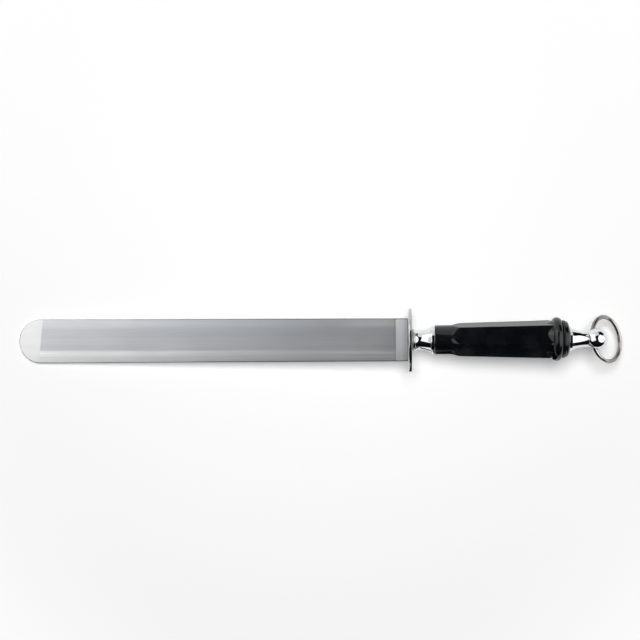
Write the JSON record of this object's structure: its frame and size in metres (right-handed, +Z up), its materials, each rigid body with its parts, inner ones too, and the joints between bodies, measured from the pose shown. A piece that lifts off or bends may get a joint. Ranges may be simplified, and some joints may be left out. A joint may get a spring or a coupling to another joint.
{
  "type": "knife sharpening steel",
  "caption": "Flat sharpening steel with a through tang, round guard, turned bolster, six-sided grip and a hanging ring on a swivel ball.",
  "frame": {"origin": "on the table under the middle of the steel's length, as it lies on its guard and the tip of its blade", "axes": "+X along the steel from tip to ring, +Y across the blade, +Z up from the table"},
  "size_m": [0.464, 0.048, 0.0485],
  "materials": {
    "blade": "lengthwise brushed, polished at the tip",
    "guard_disc": "satin",
    "bolster": "polished",
    "grip": "gloss",
    "tang_washer": "zinc plated",
    "tang_nut": "zinc plated",
    "end_cap": "gloss",
    "pommel": "polished",
    "swivel_washer": "plain",
    "swivel_ball": "polished",
    "hanging_ring": "polished wire"
  },
  "bodies": {
    "handle": {"blade": "blade", "guard_disc": "guard_disc", "bolster": "bolster", "grip": "grip", "tang_washer": "tang_washer", "tang_nut": "tang_nut", "end_cap": "end_cap", "pommel": "pommel", "swivel_washer": "swivel_washer"},
    "swivel": {"swivel_ball": "swivel_ball"},
    "ring": {"hanging_ring": "hanging_ring"}
  },
  "joints": [
    {"name": "ball_swivel", "type": "hinge", "parent": "handle", "child": "swivel", "pos_m": [0.20722, 0, 0.03417], "axis": [0.9973, 0, 0.0734], "continuous": true},
    {"name": "ring_swing", "type": "hinge", "parent": "swivel", "child": "ring", "pos_m": [0.20432, 0, 0.03395], "axis": [-0.078, 0.9888, -0.1275], "range_deg": [-160, 72]}
  ]
}
